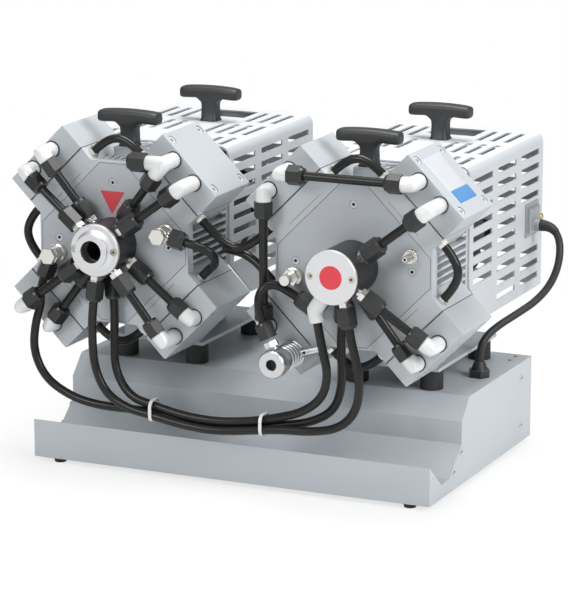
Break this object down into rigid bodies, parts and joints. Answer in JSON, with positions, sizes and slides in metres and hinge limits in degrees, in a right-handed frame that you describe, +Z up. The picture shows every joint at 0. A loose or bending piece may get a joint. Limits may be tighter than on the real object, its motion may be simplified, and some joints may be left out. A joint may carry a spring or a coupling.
{
  "type": "diaphragm vacuum pump",
  "caption": "Twin-unit oil-free diaphragm vacuum pump: radial heads around finned crankcases, slotted motor guards, black link hoses, on a folded bench tray.",
  "frame": {"origin": "on the ground under the middle of the machine's bounding box", "axes": "+X along the front towards the right-hand unit, +Y away from the front, +Z up"},
  "size_m": [0.5735, 0.4128, 0.4209],
  "materials": {
    "sheet_grey": "fine satin powder coat",
    "guard_grey": "satin powder coat",
    "cast_grey": "satin painted casting",
    "head_grey": "satin painted machined block",
    "plate_grey": "satin painted plate",
    "bare_aluminium": "turned",
    "steel": "machined",
    "nickel": "nickel plated",
    "black_plastic": "matt moulded",
    "nut_plastic": "satin moulded",
    "white_plastic": "glossy fluoropolymer",
    "hose_black": "semi gloss",
    "rubber": "matt",
    "handle_plastic": "fine texture",
    "tie_white": "smooth",
    "copper_brown": "painted motor shell"
  },
  "bodies": {
    "frame": {"base_frames": "sheet_grey", "cable_fittings": "black_plastic", "cable_ties": "tie_white", "crossover_hose_1": "hose_black", "crossover_hose_2": "hose_black", "crossover_hose_3": "hose_black", "diaphragms": "rubber", "head_screws": "steel", "hub_end_disc": "bare_aluminium", "inlet_flange": "bare_aluminium", "left_carry_handles": "handle_plastic", "left_cover_plate": "plate_grey", "left_crankcase": "cast_grey", "left_guard": "guard_grey", "left_head_elbows": "white_plastic", "left_head_ll": "head_grey", "left_head_lr": "head_grey", "left_head_ul": "head_grey", "left_head_ur": "head_grey", "left_hub": "black_plastic", "left_hub_nipples": "nickel", "left_link_tubes": "hose_black", "left_motor": "copper_brown", "left_pipe_nuts": "nut_plastic", "left_shaft_bearings": "steel", "motor_cable": "hose_black", "outlet_fittings": "bare_aluminium", "outlet_hose": "hose_black", "panel_screws": "steel", "plate_fittings": "nickel", "return_hose": "hose_black", "right_carry_handles": "handle_plastic", "right_cover_plate": "plate_grey", "right_crankcase": "cast_grey", "right_guard": "guard_grey", "right_head_elbows": "white_plastic", "right_head_ll": "head_grey", "right_head_lr": "head_grey", "right_head_ul": "head_grey", "right_head_ur": "head_grey", "right_hub": "black_plastic", "right_hub_nipples": "nickel", "right_link_tubes": "hose_black", "right_motor": "copper_brown", "right_pipe_nuts": "nut_plastic", "right_shaft_bearings": "steel", "rubber_feet": "rubber", "transfer_hose": "hose_black", "tray_body": "sheet_grey", "tray_end_plates": "sheet_grey", "valve_discs": "rubber", "vent_hose": "hose_black"},
    "left_shaft": {"left_crankshaft": "steel", "left_fan": "black_plastic"},
    "left_rising_rods": {"left_rods_rising": "bare_aluminium"},
    "left_falling_rods": {"left_rods_falling": "bare_aluminium"},
    "right_shaft": {"right_crankshaft": "steel", "right_fan": "black_plastic"},
    "right_rising_rods": {"right_rods_rising": "bare_aluminium"},
    "right_falling_rods": {"right_rods_falling": "bare_aluminium"}
  },
  "joints": [
    {"name": "left_shaft_turn", "type": "hinge", "parent": "frame", "child": "left_shaft", "pos_m": [-0.15, -0.098, 0.2689], "axis": [0, 1, 0], "continuous": true},
    {"name": "left_rising_stroke", "type": "slide", "parent": "frame", "child": "left_rising_rods", "axis": [0.7071, 0, 0.7071], "range_m": [-0.003, 0.003], "stiffness_N_per_m": 20000},
    {"name": "left_falling_stroke", "type": "slide", "parent": "frame", "child": "left_falling_rods", "axis": [-0.7071, 0, 0.7071], "range_m": [-0.003, 0.003], "stiffness_N_per_m": 20000},
    {"name": "right_shaft_turn", "type": "hinge", "parent": "frame", "child": "right_shaft", "pos_m": [0.15, -0.098, 0.2689], "axis": [0, 1, 0], "continuous": true},
    {"name": "right_rising_stroke", "type": "slide", "parent": "frame", "child": "right_rising_rods", "axis": [0.7071, 0, 0.7071], "range_m": [-0.003, 0.003], "stiffness_N_per_m": 20000},
    {"name": "right_falling_stroke", "type": "slide", "parent": "frame", "child": "right_falling_rods", "axis": [-0.7071, 0, 0.7071], "range_m": [-0.003, 0.003], "stiffness_N_per_m": 20000}
  ]
}
